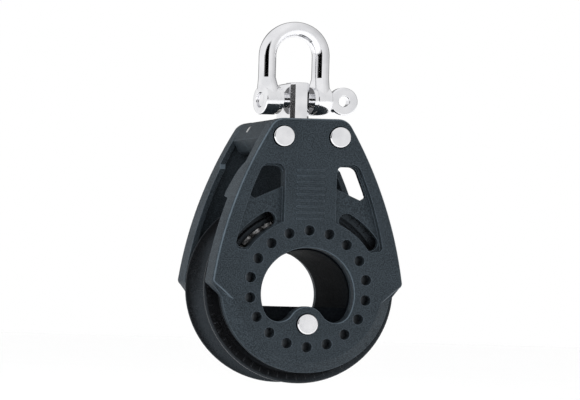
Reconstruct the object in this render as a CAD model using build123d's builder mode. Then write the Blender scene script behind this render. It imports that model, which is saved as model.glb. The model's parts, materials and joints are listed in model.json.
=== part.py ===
from build123d import *
import os
from math import atan2, cos, degrees, hypot, radians, sin, sqrt

# Frame: origin at the sheave centre, +X right, +Y to the back cheek, +Z to the shackle. Millimetres.

# Gaps between fitted pieces
fit = 0.05
clearance = 0.1

# Cheeks
half_width = 15.5
plate = 3.6
wall = 2.0
top_z = 67.2
top_corner_x = 14.12
top_round = 6.0
side_mid = (30.2, 33.0)
shoulder = (37.5, 2.0)
shoulder_round = 2.2
under_shoulder = (34.0, -0.9)
skirt_radius = 33.2
skirt_end_angle = -7
face_radius = 29.0
face_end_angle = -12
bevel_drop = 1.8
edge_round = 1.2
lip_round = 0.9
seat_y = half_width - plate

# Edge wall, seen from the side: how far it reaches towards the middle at each height
wall_reach = 5.0
wall_foot = -3.0
rim_low = 8.7
rim_low_from = 1.5
rim_low_to = 48.0
rim_high = 10.5
rim_high_from = 50.0
guard = [(-rim_low, 35.4), (-5.4, 36.4), (-wall_reach, 38.0), (-7.5, 46.5)]
beyond = 80.0

# Hub
tunnel_radius = 17.5
tunnel_z = -2.1
tunnel_floor = -7.1
opening_radius = 18.2
boss_radius = 7.1
lobe_radius = 6.0
core_radius = 20.0
hub_rivet_z = -14.0

# Flush holes
flush_ring = 23.0
flush_count = 18
flush_radius = 2.1

# Windows
pocket_depth = 2.0
pocket_inner_x = 10.1
pocket_top = 49.2
pocket_top_x = 18.7
pocket_side = (25.9, 29.8)
pocket_end = (29.2, 15.4)
pocket_end_angle = 31.5
pocket_top_round = 3.6
pocket_low_round = 1.8
window_top = 48.4
window_corners = [
    (pocket_inner_x, window_top), (pocket_inner_x, 40.1), (20.9, 35.2), (23.0, 36.6), (18.4, window_top)
]
window_top_round = 3.4
window_low_round = 0.9
kidney_inner = 28.0
kidney_width = 6.3
kidney_from = 37
kidney_to = 60

# Rivets
head_rivet_x = 11.05
head_rivet_z = 59.9
rivet_shank = 2.5
rivet_head = 4.05
rivet_recess = 4.45
recess_depth = 1.5
rivet_proud = 0.7
rivet_round = 0.45

# Sheave and bearing
rim_radius = 37.5
rim_half = 8.15
groove_radius = 7.3
groove_centre = 37.6
bore_radius = 28.9
collar_radius = 30.9
collar_half = 8.6
web_inner_radius = 31.4
web_outer_radius = 33.4
web_half = 7.2
flange_inner_radius = 36.6
flange_round = 0.4
groove_edge_round = 0.25
ball_radius = 2.38
ball_pitch = 28.0
ball_row_y = 6.0
ball_count = 34
race_groove = 2.5
race_shoulder = 26.6
race_flange = 27.9
race_flange_y = 9.4
cage_radius = 27.75
cage_y = 4.4
cage_thick = 1.4
cage_width = 3.6

# Head
head_bottom = 54.2
arch_top = head_bottom + 1.6
arch_mid = (3.6, head_bottom + 1.2)
arch_end_x = 7.0
under_x = 15.6
under_round = 2.4
waist = (18.45, 59.6)
side_bow = (16.45, 63.3)
plug_inset = wall + 1.2
plug_top_round = 1.5
seam_y = 2.3
slot_width = 2.1
slot_gap = 0.1

# Swivel
journal_radius = 4.8
neck_radius = 3.4
neck_low = 62.6
neck_high = 65.05
journal_bottom = 59.0
journal_chamfer = 0.5
post_width = 7.5
post_depth = 13.0
post_corner = 1.37
post_base = 67.7
post_top = 82.2
post_round = 0.8
bush_radius = 6.2
bush_floor = 1.1
bush_bottom = journal_bottom - bush_floor - fit
collar_outer = 6.6
tail_start = 5.6
tail_near = 2.4
tail_far = 4.0

# Shackle
pin_z = 75.5
pin_radius = 3.0
pin_bore = 3.06
leg_x = 10.65
wire = 6.05
wire_corner = 2.7
crown_z = 93.3
blend_top = 84.5
blend_low = 77.0
blend_x = 9.9
blend_size = (6.1, 11.2)
lug_radius = 5.85
lug_inner = 6.2
lug_step = 7.7
lug_outer = 13.2
boss_drop = 0.35
lug_round = 0.5

# Shackle pin
pin_sunk = 0.6
pin_stub = 1.2
pin_chamfer = 0.4
shoulder_radius = 3.7
shoulder_gap = 0.2
shoulder_thick = 0.9
neck_length = 5.6
neck_height = 6.4
neck_reach = 3.6
ring_x = 19.8
ring_outer = 5.6
ring_hole = 2.1
ring_thick = 2.8
ring_round = 0.6
hole_round = 0.35

# Lock screw
screw_radius = 2.55
screw_proud = 0.35
screw_gap = 0.25
screw_round = 0.3
socket_radius = 1.0
socket_depth = 1.8

os.makedirs("parts", exist_ok=True)


def save(piece, name):
    """Labels a finished piece and writes it."""
    piece.label = name
    export_step(piece, f"parts/{name}.step")


def on_circle(radius, angle):
    """Point at an angle in degrees on a circle about the origin."""
    return (radius * cos(radians(angle)), radius * sin(radians(angle)))


# ---------------------------------------------------------------- cheeks


def cheek_outline(lower_radius, end_angle):
    """Cheek outline: curved sides, rounded shoulders and a round lower edge."""
    with BuildSketch() as outline:
        with BuildLine():
            lower = CenterArc((0, 0), lower_radius, -90, 90 + end_angle)
            notch = Line(lower @ 1, under_shoulder) if lower_radius < skirt_radius else lower
            step = Line(notch @ 1, shoulder)
            side = ThreePointArc(step @ 1, side_mid, (top_corner_x, top_z))
            Line(side @ 1, (0, top_z))
            mirror(about=Plane.YZ)
        make_face()
        top_corners = vertices().filter_by(lambda v: abs(v.Y - top_z) < 0.01 and abs(v.X) > 1)
        fillet(top_corners, radius=top_round)
        shoulders = vertices().filter_by(lambda v: abs(v.Y - shoulder[1]) < 0.01 and abs(v.X) > 1)
        fillet(shoulders, radius=shoulder_round)
    return outline.sketch_local


def hub_opening():
    """Round opening with two lobes that pass either side of the hub rivet's boss."""
    to_lobe = boss_radius + lobe_radius
    from_roof = opening_radius - lobe_radius
    rise = tunnel_z - hub_rivet_z
    lobe_rise = (to_lobe**2 - from_roof**2 + rise**2) / (2 * rise)
    lobe_z = hub_rivet_z + lobe_rise
    lobe_x = sqrt(to_lobe**2 - lobe_rise**2)
    roof_angle = degrees(atan2(lobe_z - tunnel_z, lobe_x))
    boss_angle = degrees(atan2(lobe_rise, lobe_x))
    with BuildSketch() as opening:
        with BuildLine():
            CenterArc((0, tunnel_z), opening_radius, roof_angle, 180 - 2 * roof_angle)
            CenterArc((lobe_x, lobe_z), lobe_radius, roof_angle, boss_angle - 180 - roof_angle)
            CenterArc((-lobe_x, lobe_z), lobe_radius, 180 - roof_angle, 180 + roof_angle - boss_angle)
            CenterArc((0, hub_rivet_z), boss_radius, boss_angle, 180 - 2 * boss_angle)
        make_face()
    return opening.sketch_local


def pocket():
    """Shallow pocket right of the central panel."""
    inner_low = sqrt(kidney_inner**2 - pocket_inner_x**2)
    start_angle = degrees(atan2(inner_low, pocket_inner_x))
    with BuildSketch() as area:
        with BuildLine():
            inner = Line((pocket_inner_x, pocket_top), (pocket_inner_x, inner_low))
            arc = CenterArc((0, 0), kidney_inner, start_angle, pocket_end_angle - start_angle)
            end = Line(arc @ 1, pocket_end)
            outer = ThreePointArc(end @ 1, pocket_side, (pocket_top_x, pocket_top))
            Line(outer @ 1, inner @ 0)
        make_face()
        fillet(vertices().group_by(Axis.Y)[-1], radius=pocket_top_round)
        fillet(vertices().sort_by(Axis.Y)[0:2], radius=pocket_low_round)
    return area.sketch_local


def upper_window():
    """Upper through window, a little inside the pocket."""
    with BuildSketch() as area:
        with BuildLine():
            Polyline(*window_corners, close=True)
        make_face()
        fillet(vertices().group_by(Axis.Y)[-1], radius=window_top_round)
        fillet(vertices().sort_by(Axis.Y)[0:2], radius=window_low_round)
    return area.sketch_local


def kidney_window():
    """Lower through window: a slot that follows the sheave's edge inside the pocket."""
    kidney_outer = kidney_inner + kidney_width
    kidney_middle = kidney_inner + kidney_width / 2
    with BuildSketch() as area:
        with BuildLine():
            CenterArc(on_circle(kidney_middle, kidney_from), kidney_width / 2, kidney_from + 180, 180)
            CenterArc((0, 0), kidney_outer, kidney_from, kidney_to - kidney_from)
            CenterArc(on_circle(kidney_middle, kidney_to), kidney_width / 2, kidney_to, 180)
            CenterArc((0, 0), kidney_inner, kidney_to, kidney_from - kidney_to)
        make_face()
    return area.sketch_local


def rim_trim(with_guards):
    """Side view of what is trimmed off the edge wall, with rope guards left on if asked."""
    edge = [(-rim_low, rim_low_from), *guard] if with_guards else [(-rim_low, rim_low_from)]
    with BuildSketch() as area:
        with BuildLine():
            Polyline(
                (-seat_y, wall_foot), *edge, (-rim_low, rim_low_to), (-rim_high, rim_high_from),
                (-rim_high, beyond), (0, beyond), (0, -beyond), (-seat_y, -beyond), close=True
            )
        make_face()
    return area.sketch_local


def build_cheek(is_front):
    """One cheek moulding, outer face towards -Y. Only the front one has guards and upper windows."""
    outer = Plane.XZ.offset(half_width)
    seat = Plane.XZ.offset(seat_y)
    with BuildPart() as cheek:
        with BuildSketch(outer):
            add(cheek_outline(face_radius, face_end_angle))
        extrude(amount=-plate)
        fillet(faces().sort_by(Axis.Y)[0].edges(), radius=edge_round)
        with BuildSketch(Plane.XZ.offset(half_width - bevel_drop)):
            add(cheek_outline(skirt_radius, skirt_end_angle))
        extrude(amount=bevel_drop - plate)
        with BuildSketch(Plane.XY):
            with BuildLine():
                Polyline(
                    (0, -half_width), (face_radius, -half_width),
                    (skirt_radius, -half_width + bevel_drop), (0, -half_width + bevel_drop), close=True
                )
            make_face()
        revolve(axis=Axis.Y)
        with BuildSketch(seat):
            add(cheek_outline(skirt_radius, skirt_end_angle))
            offset(amount=-wall, mode=Mode.SUBTRACT)
        extrude(amount=wall_reach - seat_y)
        with BuildSketch(Plane.YZ):
            add(rim_trim(is_front))
        extrude(amount=beyond, both=True, mode=Mode.SUBTRACT)
        with BuildSketch(outer):
            add(hub_opening())
        extrude(amount=-plate, mode=Mode.SUBTRACT)
        lip = edges().filter_by_position(Axis.Y, -half_width - 0.01, -half_width + 0.01)
        fillet(lip.filter_by(lambda e: (e @ 0.5).length < hypot(half_width, flush_ring)), radius=lip_round)
        with BuildSketch(outer):
            add(pocket())
            mirror(about=Plane.YZ)
        extrude(amount=-pocket_depth, mode=Mode.SUBTRACT)
        if is_front:
            with BuildSketch(outer):
                add(upper_window())
                mirror(about=Plane.YZ)
            extrude(amount=-plate, mode=Mode.SUBTRACT)
        with BuildSketch(outer):
            add(kidney_window())
            mirror(about=Plane.YZ)
        extrude(amount=-plate, mode=Mode.SUBTRACT)
        with BuildSketch(outer):
            with PolarLocations(flush_ring, flush_count, start_angle=90):
                Circle(flush_radius)
        extrude(amount=-plate, mode=Mode.SUBTRACT)
        with BuildSketch(outer):
            with Locations(*rivet_places):
                Circle(rivet_recess)
        extrude(amount=-recess_depth, mode=Mode.SUBTRACT)
        with BuildSketch(outer):
            with Locations(*rivet_places):
                Circle(rivet_shank + fit)
        extrude(amount=-plate, mode=Mode.SUBTRACT)
    return cheek.part


rivet_places = [(-head_rivet_x, head_rivet_z), (head_rivet_x, head_rivet_z), (0, hub_rivet_z)]
save(build_cheek(is_front=True), "front_cheek")

with BuildPart() as back_cheek:
    add(build_cheek(is_front=False), rotation=(0, 0, 180))
save(back_cheek.part, "back_cheek")


# ---------------------------------------------------------------- rivets


def build_rivet(x, z):
    """Through rivet with a flat head sunk in each cheek."""
    head_length = recess_depth + rivet_proud
    with BuildPart() as rivet:
        with BuildSketch(Plane.XZ.offset(half_width + rivet_proud)):
            with Locations((x, z)):
                Circle(rivet_head)
        extrude(amount=-head_length)
        with BuildSketch(Plane.XZ.offset(-half_width - rivet_proud)):
            with Locations((x, z)):
                Circle(rivet_head)
        extrude(amount=head_length)
        heads = edges().group_by(Axis.Y)
        fillet(heads[0] + heads[-1], radius=rivet_round)
        with BuildSketch(Plane.XZ.offset(half_width)):
            with Locations((x, z)):
                Circle(rivet_shank)
        extrude(amount=-2 * half_width)
    return rivet.part


for rivet_name, place in zip(("left_head_rivet", "right_head_rivet", "hub_rivet"), rivet_places):
    save(build_rivet(*place), rivet_name)


# ---------------------------------------------------------------- hub and bearing

def tunnel():
    """Cross-section of the hub's tunnel: round roof, flat floor."""
    with BuildSketch() as opening:
        with Locations((0, tunnel_z)):
            Circle(tunnel_radius)
        with Locations((0, tunnel_floor)):
            Rectangle(2 * core_radius, core_radius, align=(Align.CENTER, Align.MAX), mode=Mode.SUBTRACT)
    return opening.sketch_local


with BuildPart() as hub_core:
    with BuildSketch(Plane.XZ.offset(seat_y)):
        Circle(core_radius)
        add(tunnel(), mode=Mode.SUBTRACT)
        with Locations((0, hub_rivet_z)):
            Circle(rivet_shank + fit, mode=Mode.SUBTRACT)
    extrude(amount=-2 * seat_y)
save(hub_core.part, "hub_core")


def build_race():
    """Inner race ring on the hub core, front half, with its flange against the cheek."""
    with BuildPart() as race:
        with BuildSketch(Plane.XY):
            with BuildLine():
                Polyline(
                    (core_radius + fit, 0), (race_shoulder, 0), (race_shoulder, -race_flange_y),
                    (race_flange, -race_flange_y), (race_flange, -seat_y), (core_radius + fit, -seat_y),
                    close=True
                )
            make_face()
            with Locations((ball_pitch, -ball_row_y)):
                Circle(race_groove, mode=Mode.SUBTRACT)
        revolve(axis=Axis.Y)
    return race.part


inner_race_front = build_race()
save(inner_race_front, "inner_race_front")

with BuildPart() as inner_race_back:
    add(inner_race_front, rotation=(0, 0, 180))
save(inner_race_back.part, "inner_race_back")

with BuildPart() as sheave:
    with BuildSketch(Plane.XY):
        with BuildLine():
            Polyline(
                (bore_radius, 0), (bore_radius, collar_half), (collar_radius, collar_half),
                (web_inner_radius, web_half), (web_outer_radius, web_half),
                (flange_inner_radius, rim_half), (rim_radius, rim_half), (rim_radius, 0), close=True
            )
        make_face()
        fillet(vertices().filter_by(lambda v: v.Y > rim_half - 0.01), radius=flange_round)
        with Locations((ball_pitch, ball_row_y)):
            Circle(race_groove, mode=Mode.SUBTRACT)
        mirror(about=Plane.XZ)
        with Locations((groove_centre, 0)):
            Circle(groove_radius, mode=Mode.SUBTRACT)
    revolve(axis=Axis.Y)
    rim_edges = edges().filter_by(GeomType.CIRCLE).filter_by(lambda e: e.radius > rim_radius - 0.2)
    fillet(rim_edges.filter_by(lambda e: abs(e.center().Y) < groove_radius), radius=groove_edge_round)
save(sheave.part, "sheave")


def build_balls(row_y):
    """One row of loose balls."""
    with BuildPart() as balls:
        with Locations(Plane.XZ.offset(-row_y)):
            with PolarLocations(ball_pitch, ball_count):
                Sphere(ball_radius)
    return balls.part


def build_cage(side):
    """Crown cage that keeps one row of balls apart, open towards its cheek."""
    with BuildPart() as cage:
        with BuildSketch(Plane.XY):
            with Locations((cage_radius, side * cage_y)):
                Rectangle(cage_thick, cage_width)
        revolve(axis=Axis.Y)
        with Locations(Plane.XZ.offset(-side * ball_row_y)):
            with PolarLocations(ball_pitch, ball_count):
                Sphere(race_groove, mode=Mode.SUBTRACT)
    return cage.part


for row_name, row_side in (("front", -1), ("back", 1)):
    save(build_balls(row_side * ball_row_y), f"bearing_balls_{row_name}")
    save(build_cage(row_side), f"ball_cage_{row_name}")


# ---------------------------------------------------------------- head


def head_outline(inset):
    """Head outline: follows the cheeks, tucks in under the rivets and arches over the sheave."""
    with BuildSketch() as outline:
        with BuildLine():
            arch = ThreePointArc((0, arch_top), arch_mid, (arch_end_x, head_bottom))
            under = Line(arch @ 1, (under_x, head_bottom))
            lower_side = Line(under @ 1, (waist[0] - inset, waist[1]))
            bow = (side_bow[0] - inset, side_bow[1])
            side = ThreePointArc(lower_side @ 1, bow, (top_corner_x - inset, top_z - inset))
            Line(side @ 1, (0, top_z - inset))
            mirror(about=Plane.YZ)
        make_face()
        top_corners = vertices().filter_by(lambda v: v.Y > top_z - inset - 0.01 and abs(v.X) > 1)
        fillet(top_corners, radius=max(top_round - inset, plug_top_round))
        fillet(vertices().filter_by(lambda v: abs(abs(v.X) - under_x) < 0.01), radius=under_round)
    return outline.sketch_local


def outside_head(inset):
    """Everything round the head outline, for trimming what must end flush with the head's side."""
    with BuildSketch() as surround:
        with Locations((0, top_z)):
            Rectangle(beyond, beyond)
        add(head_outline(inset), mode=Mode.SUBTRACT)
    return surround.sketch_local


def build_head_half():
    """Front half of the head: bores for the swivel, a recess for the split collar and its tail's slot."""
    front = rim_high - clearance
    with BuildPart() as head:
        with BuildSketch(Plane.XZ.offset(front)):
            add(head_outline(clearance))
        extrude(amount=-(front + seam_y - fit))
        with BuildSketch(Plane.XZ.offset(seat_y - fit)):
            add(head_outline(plug_inset))
        extrude(amount=front - seat_y)
        with BuildSketch(Plane.XY):
            with Locations((-fit, -seam_y - fit)):
                Rectangle(beyond, beyond, align=(Align.MIN, Align.MIN))
        extrude(amount=beyond, mode=Mode.SUBTRACT)
        for radius, low, high in (
            (bush_radius + fit, bush_bottom - fit, top_z),
            (collar_outer + clearance, neck_low - clearance, neck_high + clearance),
        ):
            with BuildSketch(Plane.XY.offset(low)):
                Circle(radius)
            extrude(amount=high - low, mode=Mode.SUBTRACT)
        with BuildSketch(Plane.XY.offset(neck_low - clearance)):
            with Locations((0, -seam_y)):
                Rectangle(beyond, slot_width, align=(Align.MIN, Align.MAX))
        extrude(amount=neck_high - neck_low + 2 * clearance + slot_gap, mode=Mode.SUBTRACT)
        with BuildSketch(Plane.XZ.offset(seat_y)):
            with Locations(*rivet_places[:2]):
                Circle(rivet_shank + fit)
        extrude(amount=-2 * seat_y, mode=Mode.SUBTRACT)
    return head.part


head_front = build_head_half()
save(head_front, "head_front")

with BuildPart() as head_back:
    add(head_front, rotation=(0, 0, 180))
save(head_back.part, "head_back")


def build_split_collar():
    """Half of the collar in the post's neck, with a tail that ends flush in the head's side."""
    low = neck_low + fit
    high = neck_high - fit
    with BuildPart() as collar:
        with BuildSketch(Plane.XY.offset(low)):
            Circle(collar_outer)
            Circle(neck_radius + clearance, mode=Mode.SUBTRACT)
            with Locations((0, -fit)):
                Rectangle(beyond, beyond, align=(Align.CENTER, Align.MIN), mode=Mode.SUBTRACT)
        extrude(amount=high - low)
        with BuildSketch(Plane.XZ.offset(tail_far)):
            with Locations((tail_start, low)):
                Rectangle(under_x, high - low, align=(Align.MIN, Align.MIN))
            add(outside_head(2 * clearance), mode=Mode.SUBTRACT)
        extrude(amount=tail_near - tail_far)
    return collar.part


split_collar_front = build_split_collar()
save(split_collar_front, "split_collar_front")

with BuildPart() as split_collar_back:
    add(split_collar_front, rotation=(0, 0, 180))
save(split_collar_back.part, "split_collar_back")


def build_bush(low, high, floor):
    """Plain bush round the post's journal, with an optional floor under its end."""
    with BuildPart() as bush:
        with BuildSketch(Plane.XY.offset(low)):
            Circle(bush_radius)
        extrude(amount=high - low)
        with BuildSketch(Plane.XY.offset(low + floor)):
            Circle(journal_radius + fit)
        extrude(amount=high - low, mode=Mode.SUBTRACT)
    return bush.part


save(build_bush(neck_high + clearance, top_z - 2 * clearance, 0), "swivel_bush_upper")
save(build_bush(bush_bottom, neck_low - clearance, bush_floor), "swivel_bush_lower")


# ---------------------------------------------------------------- swivel post

with BuildPart() as swivel_post:
    with BuildSketch(Plane.XY.offset(journal_bottom)):
        Circle(journal_radius)
    extrude(amount=post_base - journal_bottom)
    chamfer(edges().group_by(Axis.Z)[0], length=journal_chamfer)
    with BuildSketch(Plane.XY.offset(neck_low)):
        Circle(collar_outer)
        Circle(neck_radius, mode=Mode.SUBTRACT)
    extrude(amount=neck_high - neck_low, mode=Mode.SUBTRACT)
    with BuildSketch(Plane.XY.offset(post_base)):
        Rectangle(post_width, post_depth)
        chamfer(vertices(), length=post_corner)
    extrude(amount=post_top - post_base)
    fillet(edges().group_by(Axis.Z)[-1], radius=post_round)
    with BuildSketch(Plane.YZ.offset(-post_width)):
        with Locations((0, pin_z)):
            Circle(pin_bore)
    extrude(amount=2 * post_width, mode=Mode.SUBTRACT)
    with BuildSketch(Plane.XY.offset(pin_z)):
        Circle(screw_radius + fit / 2)
    extrude(amount=post_top - pin_z, mode=Mode.SUBTRACT)
save(swivel_post.part, "swivel_post")

screw_low = pin_z + pin_radius + screw_gap
screw_top = post_top + screw_proud
with BuildPart() as shackle_lock_screw:
    with BuildSketch(Plane.XY.offset(screw_low)):
        Circle(screw_radius)
    extrude(amount=screw_top - screw_low)
    fillet(edges().group_by(Axis.Z)[-1], radius=screw_round)
    with BuildSketch(Plane.XY.offset(screw_top)):
        RegularPolygon(socket_radius, 6, major_radius=False)
    extrude(amount=-socket_depth, mode=Mode.SUBTRACT)
save(shackle_lock_screw.part, "shackle_lock_screw")


# ---------------------------------------------------------------- shackle

with BuildPart() as shackle_bow:
    with BuildLine(Plane.XZ) as bow_path:
        left_leg = Line((-leg_x, blend_top), (-leg_x, crown_z))
        crown = ThreePointArc(left_leg @ 1, (0, crown_z + leg_x), (leg_x, crown_z))
        Line(crown @ 1, (leg_x, blend_top))
    with BuildSketch(Plane.XY.offset(blend_top)):
        with Locations((-leg_x, 0)):
            RectangleRounded(wire, wire, wire_corner)
    sweep(path=bow_path.wires()[0])
    for side in (-1, 1):
        with BuildSketch(Plane.XY.offset(blend_low)):
            with Locations((side * blend_x, 0)):
                RectangleRounded(*blend_size, wire_corner)
        with BuildSketch(Plane.XY.offset(blend_top)):
            with Locations((side * leg_x, 0)):
                RectangleRounded(wire, wire, wire_corner)
        loft()
        for start, radius in ((lug_inner, lug_radius - boss_drop), (lug_step, lug_radius)):
            with BuildSketch(Plane.YZ.offset(side * start)):
                with Locations((0, pin_z)):
                    Circle(radius)
            extrude(amount=side * (lug_outer - start))
    lug_rims = edges().filter_by(GeomType.CIRCLE)
    fillet(lug_rims.filter_by(lambda e: abs(abs(e.center().X) - lug_outer) < 0.01), radius=lug_round)
    with BuildSketch(Plane.YZ.offset(-lug_outer)):
        with Locations((0, pin_z)):
            Circle(pin_bore)
    extrude(amount=2 * lug_outer, mode=Mode.SUBTRACT)
save(shackle_bow.part, "shackle_bow")

with BuildPart() as shackle_pin:
    with BuildSketch(Plane.YZ.offset(pin_sunk - lug_outer)):
        with Locations((0, pin_z)):
            Circle(pin_radius)
    extrude(amount=2 * lug_outer - pin_sunk + pin_stub)
    chamfer(edges().group_by(Axis.X)[0], length=pin_chamfer)
    with BuildSketch(Plane.YZ.offset(lug_outer + shoulder_gap)):
        with Locations((0, pin_z)):
            Circle(shoulder_radius)
    extrude(amount=shoulder_thick)
    with BuildSketch(Plane.XZ.offset(ring_thick / 2)):
        with Locations((ring_x, pin_z)):
            Circle(ring_outer)
        with Locations((ring_x - neck_reach, pin_z)):
            Rectangle(neck_length, neck_height)
    extrude(amount=-ring_thick)
    with BuildSketch(Plane.XZ.offset(ring_thick)):
        with Locations((ring_x, pin_z)):
            Circle(ring_hole)
    extrude(amount=-2 * ring_thick, mode=Mode.SUBTRACT)
    rims = edges().filter_by(GeomType.CIRCLE)
    fillet(rims.filter_by(lambda e: abs(e.radius - ring_outer) < 0.01), radius=ring_round)
    fillet(rims.filter_by(lambda e: abs(e.radius - ring_hole) < 0.01), radius=hole_round)
save(shackle_pin.part, "shackle_pin")
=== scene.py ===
import json
import math

import bmesh
import bpy
from mathutils import Matrix, Vector


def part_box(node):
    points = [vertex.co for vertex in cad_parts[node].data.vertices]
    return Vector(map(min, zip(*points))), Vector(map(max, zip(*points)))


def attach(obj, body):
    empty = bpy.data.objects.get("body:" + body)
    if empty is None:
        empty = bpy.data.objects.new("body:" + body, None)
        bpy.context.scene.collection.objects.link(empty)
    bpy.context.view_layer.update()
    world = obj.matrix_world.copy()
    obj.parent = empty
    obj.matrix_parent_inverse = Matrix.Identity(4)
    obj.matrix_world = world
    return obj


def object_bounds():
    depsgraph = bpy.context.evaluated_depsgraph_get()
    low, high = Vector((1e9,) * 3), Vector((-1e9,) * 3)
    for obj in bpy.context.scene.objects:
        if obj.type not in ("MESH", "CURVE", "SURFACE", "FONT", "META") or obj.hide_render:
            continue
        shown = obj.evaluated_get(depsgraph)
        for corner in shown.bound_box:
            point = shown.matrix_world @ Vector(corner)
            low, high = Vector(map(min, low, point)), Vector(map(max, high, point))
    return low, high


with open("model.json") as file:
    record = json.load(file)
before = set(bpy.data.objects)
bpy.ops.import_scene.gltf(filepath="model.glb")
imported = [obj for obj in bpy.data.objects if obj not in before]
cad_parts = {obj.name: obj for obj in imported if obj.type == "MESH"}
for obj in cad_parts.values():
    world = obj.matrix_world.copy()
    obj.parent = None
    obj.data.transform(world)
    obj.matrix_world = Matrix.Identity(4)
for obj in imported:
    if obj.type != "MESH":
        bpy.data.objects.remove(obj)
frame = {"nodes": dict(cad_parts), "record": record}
cad_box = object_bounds()
nodes = frame["nodes"]

MM = 0.001

# ---------------------------------------------------------------- materials

CLEAR = (1.0, 1.0, 1.0)

# Sockets of Blender's mixing node, for colours and for numbers
MIX_SHARE, MIX_FIRST, MIX_SECOND, MIX_RESULT = 0, 6, 7, 2
BLEND_SHARE, BLEND_FIRST, BLEND_SECOND = 0, 2, 3

# Match between the rounded normal and the surface's own, where no edge shows and where it shows fully
EDGE_NONE, EDGE_FULL = 0.996, 0.86
EDGE_SAMPLES = 6
# How far a surface faces along the sheave's axis, from 0 to 1, across the painted highlight band on a
# rounded rim
RIM_START, RIM_FULL_FROM, RIM_FULL_TO, RIM_END = 0.4, 0.6, 0.78, 0.9


class Graph:
    """One material's node tree, with short calls for adding and joining nodes."""

    def __init__(self, name):
        self.material = bpy.data.materials.new(name)
        self.material.use_nodes = True
        self.tree = self.material.node_tree
        self.tree.nodes.clear()
        self.place = self.add("ShaderNodeTexCoord").outputs["Object"]

    def add(self, kind, inputs=None, **settings):
        """Adds a node, sets its settings, and sets or joins its inputs by name or number."""
        node = self.tree.nodes.new(kind)
        for key, value in settings.items():
            setattr(node, key, value)
        for key, value in (inputs or {}).items():
            if isinstance(value, bpy.types.NodeSocket):
                self.tree.links.new(value, node.inputs[key])
            else:
                node.inputs[key].default_value = value
        return node

    def noise(self, scale, detail=3.0, roughness=0.5, stretch=(1, 1, 1), distortion=0.0):
        """Noise from 0 to 1 in the object's own frame."""
        mapped = self.add("ShaderNodeMapping", {"Vector": self.place, "Scale": stretch})
        wanted = {"Vector": mapped.outputs[0], "Scale": scale, "Detail": detail,
                  "Roughness": roughness, "Distortion": distortion}
        return self.add("ShaderNodeTexNoise", wanted).outputs["Fac"]

    def math(self, operation, first, second=0.0):
        """Works out one number from one or two."""
        return self.add("ShaderNodeMath", {0: first, 1: second}, operation=operation).outputs[0]

    def spread(self, value, low, high, out_low=0.0, out_high=1.0):
        """Stretches a value's range low to high on to another range, without going past it."""
        wanted = {"Value": value, "From Min": low, "From Max": high,
                  "To Min": out_low, "To Max": out_high}
        return self.add("ShaderNodeMapRange", wanted).outputs[0]

    def mix(self, share, first, second):
        """Mixes two colours."""
        wanted = {MIX_SHARE: share, MIX_FIRST: first, MIX_SECOND: second}
        return self.add("ShaderNodeMix", wanted, data_type="RGBA").outputs[MIX_RESULT]

    def edges(self, radius):
        """(rounded normal, how strongly the surface turns within the radius, from 0 to 1)."""
        rounded = self.add("ShaderNodeBevel", {"Radius": radius}, samples=EDGE_SAMPLES).outputs[0]
        flat = self.add("ShaderNodeNewGeometry").outputs["Normal"]
        along = self.add("ShaderNodeVectorMath", {0: rounded, 1: flat}, operation="DOT_PRODUCT")
        return rounded, self.spread(along.outputs["Value"], EDGE_NONE, EDGE_FULL)

    def rim(self):
        """1 where the surface turns from facing along the sheave's axis to facing across it. This
        band gets a painted highlight.
        """
        faces = self.add("ShaderNodeTexCoord").outputs["Normal"]
        split = self.add("ShaderNodeSeparateXYZ", {0: faces})
        facing = self.math("ABSOLUTE", split.outputs["Y"])
        rising = self.spread(facing, RIM_START, RIM_FULL_FROM)
        falling = self.spread(facing, RIM_END, RIM_FULL_TO)
        return self.math("MULTIPLY", rising, falling)

    def bump(self, height, strength, distance, normal=None):
        """Normal that follows a height."""
        wanted = {"Height": height, "Strength": strength, "Distance": distance}
        if normal is not None:
            wanted["Normal"] = normal
        return self.add("ShaderNodeBump", wanted).outputs[0]

    def shader(self, **inputs):
        """The surface itself. Names use an underscore for a space."""
        wanted = {key.replace("_", " "): value for key, value in inputs.items()}
        surface = self.add("ShaderNodeBsdfPrincipled", wanted)
        output = self.add("ShaderNodeOutputMaterial")
        self.tree.links.new(surface.outputs[0], output.inputs["Surface"])
        return self.material


def grey(level, tint=CLEAR):
    """Grey of one level, with a tint."""
    return (level * tint[0], level * tint[1], level * tint[2], 1.0)


# Noise scales are in features per metre
CLOUD_SCALE = 70.0
RUB_AND_HIGHLIGHT_SCALE = 260.0
FIBRE_SCALE_SHARE = 0.55
FIBRE_STRETCH = (1.0, 1.0, 2.6)
MOULDED_EDGE = 0.35 * MM
SKY_SHEEN = (0.70, 0.86, 1.0, 1.0)
# How much paler the rubbed edges, and the painted highlights on edges and rim bands, are than the
# plastic's worn colour
RUBBED_AND_HIGHLIGHT_GAIN = 2.6


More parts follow.
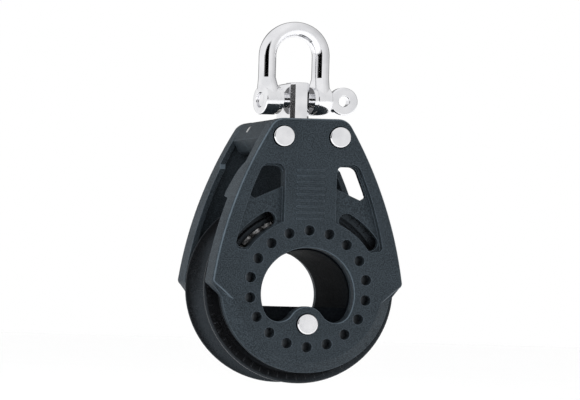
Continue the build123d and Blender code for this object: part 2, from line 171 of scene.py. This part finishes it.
def moulded(name, colour, worn, roughness=0.5, grain=2200.0, depth=0.15, edge_wear_and_highlight_level=0.9, speckle=0.8,
            sheen=0.25, rim_highlight=0.0):
    """Glass-filled moulded plastic: fibre speckle, spark-eroded grain, edges paled partly as rubbing
    and partly as painted highlight, and rim bands paled as painted highlight.
    Depth is the grain's, in millimetres."""
    g = Graph(name)
    rounded, edge = g.edges(MOULDED_EDGE)
    fine = g.noise(grain, detail=4.0, roughness=0.65)
    fibres = g.noise(grain * FIBRE_SCALE_SHARE, detail=2.0, stretch=FIBRE_STRETCH, distortion=0.4)
    cloud = g.noise(CLOUD_SCALE, detail=3.0)
    rub_and_highlight_noise = g.noise(RUB_AND_HIGHLIGHT_SCALE, detail=4.0, roughness=0.6)
    base = g.mix(g.spread(cloud, 0.3, 0.7, 0.0, 0.2), colour, worn)
    base = g.mix(g.spread(fine, 0.42, 0.6, 0.0, speckle), base, worn)
    base = g.mix(g.spread(fibres, 0.58, 0.76, 0.0, speckle * 0.4), base, worn)
    # Edges are paled partly as rubbing wear and partly as a painted highlight standing in for the
    # light lines along them
    edge_wear_and_highlight = g.math("MULTIPLY", edge, g.spread(rub_and_highlight_noise, 0.3, 0.65, 0.45, 1.0))
    rubbed_and_highlight_tone = tuple(min(1.0, RUBBED_AND_HIGHLIGHT_GAIN * level) for level in worn[:3]) + (1.0,)
    base = g.mix(g.math("MULTIPLY", edge_wear_and_highlight, edge_wear_and_highlight_level), base, rubbed_and_highlight_tone)
    # Painted highlight: rim bands, where a face turns from facing along the axis to facing across it,
    # are paled to stand in for the light they catch
    if rim_highlight:
        rim_highlight_share = g.math("MULTIPLY", g.rim(), g.spread(rub_and_highlight_noise, 0.3, 0.6, 0.6 * rim_highlight, rim_highlight))
        base = g.mix(rim_highlight_share, base, rubbed_and_highlight_tone)
    shine = g.spread(g.math("ADD", fine, cloud), 0.7, 1.3, roughness + 0.1, roughness - 0.08)
    normal = g.bump(fine, 0.7, depth * MM, rounded)
    return g.shader(Base_Color=base, Roughness=shine, Normal=normal, Specular_IOR_Level=sheen,
                    Specular_Tint=SKY_SHEEN)


POLISHED_EDGE = 0.15 * MM
SCRATCH_SCALE = 900.0
STEEL_HAZE_SCALE = 180.0
WAVE_SCALE = 120.0
SCRATCH_DEPTH = 0.02 * MM
WAVE_DEPTH = 0.03 * MM
HAZED_STEEL = (0.98, 0.99, 1.03)


def polished(name, colour, roughness=0.03, stretch=(1, 1, 8)):
    """Polished stainless steel: mirror-like, with faint drawn scratches and soft haze."""
    g = Graph(name)
    rounded, _ = g.edges(POLISHED_EDGE)
    lines = g.noise(SCRATCH_SCALE, detail=5.0, roughness=0.7, stretch=stretch)
    haze = g.noise(STEEL_HAZE_SCALE, detail=3.0)
    waves = g.noise(WAVE_SCALE, detail=1.0)
    shine = g.spread(g.math("ADD", lines, haze), 0.7, 1.4, roughness, roughness + 0.08)
    hazed = g.spread(haze, 0.35, 0.65, 0.0, 0.5)
    tone = g.mix(hazed, colour, grey(0.6, HAZED_STEEL))
    scratched = g.bump(lines, 0.25, SCRATCH_DEPTH, rounded)
    normal = g.bump(waves, 0.12, WAVE_DEPTH, scratched)
    return g.shader(Base_Color=tone, Metallic=1.0, Roughness=shine, Normal=normal)


TURNED_EDGE = 0.2 * MM
RING_SCALE = 4000.0
RING_DEPTH = 0.01 * MM
TURNED_HAZE_SCALE = 240.0
COOL_METAL = (0.9, 1.0, 1.1)


def turned(name, colour, roughness=0.3):
    """Turned metal, with fine rings about the sheave's axis."""
    g = Graph(name)
    rounded, _ = g.edges(TURNED_EDGE)
    split = g.add("ShaderNodeSeparateXYZ", {0: g.place})
    flat = g.add("ShaderNodeCombineXYZ", {"X": split.outputs["X"], "Z": split.outputs["Z"]})
    reach = g.add("ShaderNodeVectorMath", {0: flat.outputs[0]}, operation="LENGTH").outputs["Value"]
    wanted = {"W": reach, "Scale": RING_SCALE, "Detail": 2.0}
    rings = g.add("ShaderNodeTexNoise", wanted, noise_dimensions="1D")
    haze = g.noise(TURNED_HAZE_SCALE, detail=3.0)
    tone = g.mix(g.spread(haze, 0.35, 0.7, 0.0, 0.5), colour, grey(0.06, COOL_METAL))
    normal = g.bump(rings.outputs["Fac"], 0.4, RING_DEPTH, rounded)
    shine = g.spread(haze, 0.3, 0.7, roughness, roughness + 0.15)
    return g.shader(Base_Color=tone, Metallic=1.0, Roughness=shine, Normal=normal)


DARK_PATCH_SCALE = 500.0
DARK_PATCH_TINT = (0.96, 0.98, 1.0)
BALL_GRAIN_SCALE = 2600.0
BALL_GRAIN_DEPTH = 0.004 * MM


def ball_finish(name):
    """Smooth resin balls, kept grey well below white as a painted shade, with darker patches in a
    random pattern.
    """
    g = Graph(name)
    dark_patches = g.noise(DARK_PATCH_SCALE, detail=3.0)
    dark_patch_share = g.spread(dark_patches, 0.42, 0.58)
    # Painted shade: the balls are grey instead of white, standing in for the shade inside the race
    tone = g.mix(dark_patch_share, grey(0.5), grey(0.08, DARK_PATCH_TINT))
    shine = g.spread(dark_patches, 0.3, 0.7, 0.14, 0.28)
    normal = g.bump(g.noise(BALL_GRAIN_SCALE), 0.15, BALL_GRAIN_DEPTH)
    return g.shader(Base_Color=tone, Roughness=shine, Normal=normal)


BLUE_GREY = (0.72, 0.93, 1.12)
DEEP_BLUE = (0.8, 1.0, 1.6)
SLATE_GREY = (0.92, 0.95, 1.05)
IVORY = (1.0, 0.97, 0.9)
PALE_IVORY = (1.0, 0.97, 0.92)
BRIGHT_STEEL = (1.0, 1.0, 1.02)
finishes = {
    # The cheeks' rim bands get a painted highlight
    "cheek_plastic": moulded("cheek_plastic_look", grey(0.006, BLUE_GREY), grey(0.044, BLUE_GREY),
                             rim_highlight=0.7),
    "head_plastic": moulded("head_plastic_look", grey(0.008, BLUE_GREY), grey(0.03, BLUE_GREY),
                            roughness=0.55),
    # Painted shade: the core is far darker and duller than the cheeks, standing in for the shade
    # inside its tunnel
    "core_plastic": moulded("core_plastic_shaded_look", grey(0.001, DEEP_BLUE), grey(0.004, BLUE_GREY),
                            roughness=0.75, grain=1400.0, edge_wear_and_highlight_level=0.1, sheen=0.05),
    "sheave_plastic": moulded("sheave_plastic_look", grey(0.001, SLATE_GREY), grey(0.014, SLATE_GREY),
                              roughness=0.27, grain=1800.0, sheen=0.3),
    # Painted shade: the race gets a near-black metal tone, darker than bare metal, standing in for
    # the shade in the holes it is seen through
    "race_metal": turned("race_metal_shaded_look", grey(0.10, COOL_METAL)),
    "ball_plastic": ball_finish("ball_look"),
    "cage_plastic": moulded("cage_plastic_look", grey(0.04), grey(0.1), roughness=0.4),
    "bush_plastic": moulded("bush_plastic_look", grey(0.45, IVORY), grey(0.6, PALE_IVORY),
                            roughness=0.4),
    "stainless": polished("stainless_look", grey(0.78, BRIGHT_STEEL)),
    "collar_steel": polished("collar_steel_look", grey(0.78), roughness=0.16, stretch=(8, 1, 1)),
}

slot_of = {part["node"]: part["material_slot"] for part in frame["record"]["subparts"]}
for name, node in nodes.items():
    node.data.materials.clear()
    node.data.materials.append(finishes[slot_of[name]])

# ---------------------------------------------------------------- raised details

END_STEPS = 6
# Shares of a bar's half width and of its rise, from its foot to its top
BAR_LAYERS = ((1.0, 0.0), (0.86, 0.7), (0.55, 1.0))


def raised_bars(name, bars, slot, body):
    """Low bars with round ends and rounded tops. A bar is (half length, half width, rise, place),
    and place turns (along, across, up) into a point."""
    mesh = bpy.data.meshes.new(name)
    build = bmesh.new()
    for half_length, half_width, rise, place in bars:
        rings = []
        for share, height in BAR_LAYERS:
            ring = []
            for end in (1, -1):
                for step in range(END_STEPS + 1):
                    turn = math.pi * step / END_STEPS
                    along = end * (half_length - half_width + half_width * share * math.sin(turn))
                    across = end * half_width * share * math.cos(turn)
                    ring.append(build.verts.new(place(along, across, height * rise)))
            rings.append(ring)
        for lower, upper in zip(rings, rings[1:]):
            for index, corner in enumerate(lower):
                following = (index + 1) % len(lower)
                build.faces.new((corner, lower[following], upper[following], upper[index]))
        build.faces.new(rings[-1])
        build.faces.new(list(reversed(rings[0])))
    bmesh.ops.recalc_face_normals(build, faces=build.faces)
    build.to_mesh(mesh)
    build.free()
    for face in mesh.polygons:
        face.use_smooth = True
    piece = bpy.data.objects.new(name, mesh)
    bpy.context.scene.collection.objects.link(piece)
    mesh.materials.append(finishes[slot])
    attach(piece, body)


# Bar sizes are half length, half width and rise
RIB_SIZE = (5.6 * MM, 0.42 * MM, 0.3 * MM)
RIB_COUNT = 9
RIB_LOW = 27.5 * MM
RIB_PITCH = 2.4 * MM
RIB_HEIGHTS = [RIB_LOW + RIB_PITCH * row for row in range(RIB_COUNT)]
# How deep a bar's foot lies in the surface that carries it
SUNK = 0.05 * MM

front_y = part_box("front_cheek")[0].y
back_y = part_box("back_cheek")[1].y


def panel_rib(surface_y, height):
    """Places a level rib on a cheek's outer face."""
    outwards = math.copysign(1.0, surface_y)

    def place(along, across, up):
        return Vector((along, surface_y + outwards * (up - SUNK), height + across))

    return place


for side_name, surface_y in (("front", front_y), ("back", back_y)):
    ribs = [(*RIB_SIZE, panel_rib(surface_y, height)) for height in RIB_HEIGHTS]
    raised_bars("panel_ribs_" + side_name, ribs, "cheek_plastic", "cheeks")

TICK_COUNT = 60
TICK_SIZE = (0.95 * MM, 0.24 * MM, 0.16 * MM)
LONG_TICK = (1.2 * MM, 0.32 * MM, 0.18 * MM)
LONG_TICK_EVERY = 5
TICK_REACH = 35.1 * MM
# Radius and half width of the sheave where a flange starts to slope outwards, and its slope
CONE_START = Vector((33.4 * MM, 7.2 * MM))
CONE_SLOPE = 0.297


def flange_tick(side, angle):
    """Places a spoke-wise tick on the sloping face of one sheave flange."""
    outwards = Vector((math.cos(angle), 0.0, math.sin(angle)))
    around = Vector((-math.sin(angle), 0.0, math.cos(angle)))

    def place(along, across, up):
        reach = TICK_REACH + along
        depth = CONE_START.y + CONE_SLOPE * (reach - CONE_START.x) + up - SUNK
        return outwards * reach + around * across + Vector((0.0, side * depth, 0.0))

    return place


for side_name, side in (("front", -1), ("back", 1)):
    ticks = []
    for tick in range(TICK_COUNT):
        size = TICK_SIZE if tick % LONG_TICK_EVERY else LONG_TICK
        ticks.append((*size, flange_tick(side, math.tau * tick / TICK_COUNT)))
    raised_bars("flange_ticks_" + side_name, ticks, "sheave_plastic", "sheave")

# ---------------------------------------------------------------- camera, light and floor

# The camera looks along +Y, and its lens is shifted sideways to bring the block into the picture
CAMERA_PLACE = Vector((-0.4713, -0.9155, -0.0168))
CAMERA_ROLL = math.radians(1.52)
CAMERA_LENS = 141.9
CAMERA_SHIFT = {"shift_x": 2.034, "shift_y": 0.172}
CLIP_NEAR, CLIP_FAR = 0.01, 50.0
# The shift is on within this distance of the camera's own X, and its curve starts this far below it
HOME_HALF_WIDTH = 0.02
FAR_BELOW_HOME = 1.0

camera = bpy.data.objects.new("camera", bpy.data.cameras.new("camera"))
bpy.context.scene.collection.objects.link(camera)
camera.location = CAMERA_PLACE
upright = Matrix.Rotation(math.radians(90), 3, "X")
rolled = Matrix.Rotation(-CAMERA_ROLL, 3, "Y") @ upright
camera.rotation_mode = "QUATERNION"
camera.rotation_quaternion = rolled.to_quaternion()
camera.data.lens = CAMERA_LENS
camera.data.clip_start = CLIP_NEAR
camera.data.clip_end = CLIP_FAR
bpy.context.scene.camera = camera


def shift_at_home(setting, amount):
    """Lens shift while the camera is at its own place, and none once it is moved elsewhere.
    The driver reads the camera's X, and its curve steps up at home and down again past it."""
    curve = camera.data.driver_add(setting)
    for modifier in list(curve.modifiers):
        curve.modifiers.remove(modifier)
    curve.driver.type = "SUM"
    variable = curve.driver.variables.new()
    variable.type = "TRANSFORMS"
    variable.targets[0].id = camera
    variable.targets[0].transform_type = "LOC_X"
    home = CAMERA_PLACE.x
    while curve.keyframe_points:
        curve.keyframe_points.remove(curve.keyframe_points[0])
    steps = (
        (home - FAR_BELOW_HOME, 0.0),
        (home - HOME_HALF_WIDTH, amount),
        (home + HOME_HALF_WIDTH, 0.0),
    )
    for place, level in steps:
        point = curve.keyframe_points.insert(place, level)
        point.interpolation = "CONSTANT"


for setting, amount in CAMERA_SHIFT.items():
    shift_at_home(setting, amount)

middle = (cad_box[0] + cad_box[1]) / 2
# Place, width and height in metres, power in watts
LAMPS = {
    "key_light": ((-0.9, -0.9, 1.1), (0.7, 0.7), 7.0),
    "side_light": ((-1.4, -0.2, 0.5), (0.5, 0.9), 13.0),
    "right_light": ((1.0, -0.8, 0.6), (0.8, 0.8), 3.0),
}


def area_light(name, place, target, size, power):
    """Soft lamp that isn't seen itself, nor mirrored in the steel."""
    light = bpy.data.lights.new(name, "AREA")
    light.shape = "RECTANGLE"
    light.size, light.size_y = size
    light.energy = power
    lamp = bpy.data.objects.new(name, light)
    bpy.context.scene.collection.objects.link(lamp)
    lamp.location = place
    lamp.rotation_euler = (Vector(target) - Vector(place)).to_track_quat("-Z", "Y").to_euler()
    lamp.visible_camera = False
    lamp.visible_glossy = False


for lamp_name, (place, size, power) in LAMPS.items():
    area_light(lamp_name, place, middle, size, power)

# How bright the surroundings look to the camera, to matt surfaces and in reflections
CAMERA_LEVEL = 1.0
DIFFUSE_LEVEL = 1.1
GLOSSY_LEVEL = 1.08
TOWARDS_CAMERA = (CAMERA_PLACE - middle).normalized()
# Direction that the post's left front cut corner mirrors to the camera
FACET_MIRROR = Vector((-0.886, -0.463, 0.0))
RIGHT_SIDE = Vector((1.0, 0.0, 0.0))
# Where reflections find it darker: direction, outer and inner angle in degrees, level inside
DARK_ZONES = (
    (TOWARDS_CAMERA, 34, 28, 0.0),
    (FACET_MIRROR, 9, 6, 0.03),
    (-TOWARDS_CAMERA, 50, 38, 0.25),
    (RIGHT_SIDE, 75, 25, 0.7),
)


def build_world():
    """White surroundings, with darker zones that only reflections see."""
    world = bpy.data.worlds.new("studio")
    bpy.context.scene.world = world
    world.use_nodes = True
    tree = world.node_tree
    tree.nodes.clear()
    ways = tree.nodes.new("ShaderNodeTexCoord").outputs["Generated"]
    path = tree.nodes.new("ShaderNodeLightPath")

    def spread(value, low, high, out_low, out_high):
        """Stretches a value's range on to another range."""
        node = tree.nodes.new("ShaderNodeMapRange")
        ends = {"From Min": low, "From Max": high, "To Min": out_low, "To Max": out_high}
        for key, number in ends.items():
            node.inputs[key].default_value = number
        tree.links.new(value, node.inputs["Value"])
        return node.outputs[0]

    def zone(direction, outer, inner, darkest):
        """1 away from a direction, falling to darkest within the inner angle."""
        along = tree.nodes.new("ShaderNodeVectorMath")
        along.operation = "DOT_PRODUCT"
        along.inputs[1].default_value = direction
        tree.links.new(ways, along.inputs[0])
        edge, core = math.cos(math.radians(outer)), math.cos(math.radians(inner))
        return spread(along.outputs["Value"], edge, core, 1.0, darkest)

    seen = zone(*DARK_ZONES[0])
    for settings in DARK_ZONES[1:]:
        product = tree.nodes.new("ShaderNodeMath")
        product.operation = "MULTIPLY"
        tree.links.new(seen, product.inputs[0])
        tree.links.new(zone(*settings), product.inputs[1])
        seen = product.outputs[0]
    reflected = tree.nodes.new("ShaderNodeMix")
    reflected.inputs[BLEND_FIRST].default_value = DIFFUSE_LEVEL
    tree.links.new(path.outputs["Is Glossy Ray"], reflected.inputs[BLEND_SHARE])
    tree.links.new(spread(seen, 0.0, 1.0, 0.0, GLOSSY_LEVEL), reflected.inputs[BLEND_SECOND])
    shown = tree.nodes.new("ShaderNodeMix")
    shown.inputs[BLEND_SECOND].default_value = CAMERA_LEVEL
    tree.links.new(path.outputs["Is Camera Ray"], shown.inputs[BLEND_SHARE])
    tree.links.new(reflected.outputs[0], shown.inputs[BLEND_FIRST])
    white = tree.nodes.new("ShaderNodeBackground")
    white.inputs["Color"].default_value = grey(1.0)
    tree.links.new(shown.outputs[0], white.inputs["Strength"])
    output = tree.nodes.new("ShaderNodeOutputWorld")
    tree.links.new(white.outputs[0], output.inputs["Surface"])


build_world()

FLOOR_DROP = 0.06
FLOOR_HALF_SIZE = 20.0
FLOOR_SQUARES = 4
mesh = bpy.data.meshes.new("floor")
grid = bmesh.new()
bmesh.ops.create_grid(grid, x_segments=FLOOR_SQUARES, y_segments=FLOOR_SQUARES,
                      size=FLOOR_HALF_SIZE)
grid.to_mesh(mesh)
grid.free()
floor = bpy.data.objects.new("floor", mesh)
bpy.context.scene.collection.objects.link(floor)
floor.location = (0, 0, cad_box[0].z - FLOOR_DROP)
g = Graph("floor_look")
paint = g.mix(g.noise(3.0), grey(0.94), grey(0.96))
matt = g.spread(g.noise(40.0), 0.3, 0.7, 0.6, 0.75)
floor.data.materials.append(g.shader(Base_Color=paint, Roughness=matt))

bpy.context.scene.view_settings.view_transform = "Standard"
